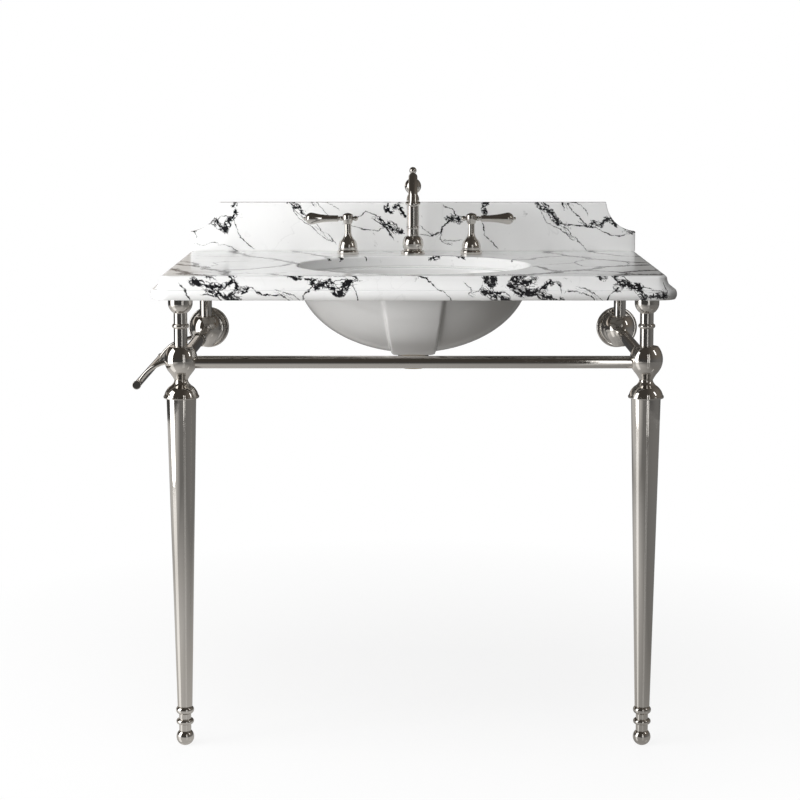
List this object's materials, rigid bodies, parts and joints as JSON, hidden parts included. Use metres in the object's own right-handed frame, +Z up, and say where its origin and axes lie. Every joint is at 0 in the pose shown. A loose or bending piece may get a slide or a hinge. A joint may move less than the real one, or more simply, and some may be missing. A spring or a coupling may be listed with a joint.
{
  "type": "console washstand",
  "caption": "Wall-fixed console washstand: veined marble top with ogee edge and backsplash on turned metal legs, oval undermount basin, lever tap set and side towel bar.",
  "frame": {"origin": "middle of the marble top's back face, on the wall", "axes": "+X to the user's right, +Y into the wall, +Z up"},
  "size_m": [0.9514, 0.559, 1.0157],
  "materials": {
    "marble": "polished, white with broken black veins",
    "nickel": "polished nickel plating",
    "china": "white glaze",
    "raw_brass": "plain machined brass",
    "black_rubber": "matte",
    "silicone": "white sealant",
    "zinc_steel": "zinc plated"
  },
  "bodies": {
    "washstand": {"backsplash": "marble", "basin": "china", "basin_clip_screws": "zinc_steel", "basin_clips": "zinc_steel", "basin_sealant": "silicone", "cold_escutcheon": "nickel", "cold_locknut": "raw_brass", "cold_valve_body": "raw_brass", "cold_washer": "black_rubber", "drain_body": "nickel", "drain_gasket": "black_rubber", "drain_locknut": "raw_brass", "front_crossbar": "nickel", "hot_escutcheon": "nickel", "hot_locknut": "raw_brass", "hot_valve_body": "raw_brass", "hot_washer": "black_rubber", "left_ankle": "nickel", "left_front_post": "nickel", "left_front_urn": "nickel", "left_leg_collar": "nickel", "left_leg_tube": "nickel", "left_rear_post": "nickel", "left_rear_urn": "nickel", "left_side_rail": "nickel", "left_wall_flange": "nickel", "marble_top": "marble", "right_ankle": "nickel", "right_front_post": "nickel", "right_front_urn": "nickel", "right_leg_collar": "nickel", "right_leg_tube": "nickel", "right_rear_post": "nickel", "right_rear_urn": "nickel", "right_side_rail": "nickel", "right_wall_flange": "nickel", "spout_aerator": "nickel", "spout_arm": "nickel", "spout_base": "nickel", "spout_column": "nickel", "spout_finial": "nickel", "spout_locknut": "raw_brass", "spout_washer": "black_rubber", "towel_arm_front": "nickel", "towel_arm_rear": "nickel", "towel_bar": "nickel", "towel_end_caps": "nickel", "towel_rail_collar": "nickel"},
    "hot_handle": {"hot_stem": "raw_brass", "hot_hub": "nickel", "hot_lever": "nickel", "hot_counter_finial": "nickel"},
    "cold_handle": {"cold_stem": "raw_brass", "cold_hub": "nickel", "cold_lever": "nickel", "cold_counter_finial": "nickel"},
    "stopper": {"drain_stopper": "nickel"},
    "left_levelling_foot": {"left_foot": "nickel"},
    "right_levelling_foot": {"right_foot": "nickel"}
  },
  "joints": [
    {"name": "hot_handle_turn", "type": "hinge", "parent": "washstand", "child": "hot_handle", "pos_m": [-0.127, -0.09, 0.0923], "axis": [0, 0, 1], "range_deg": [0, 90]},
    {"name": "cold_handle_turn", "type": "hinge", "parent": "washstand", "child": "cold_handle", "pos_m": [0.114, -0.09, 0.0923], "axis": [0, 0, -1], "range_deg": [0, 90]},
    {"name": "stopper_lift", "type": "slide", "parent": "washstand", "child": "stopper", "axis": [0, 0, 1], "range_m": [0, 0.01]},
    {"name": "left_foot_level", "type": "slide", "parent": "washstand", "child": "left_levelling_foot", "axis": [0, 0, -1], "range_m": [0, 0.01]},
    {"name": "right_foot_level", "type": "slide", "parent": "washstand", "child": "right_levelling_foot", "axis": [0, 0, -1], "range_m": [0, 0.01]}
  ]
}
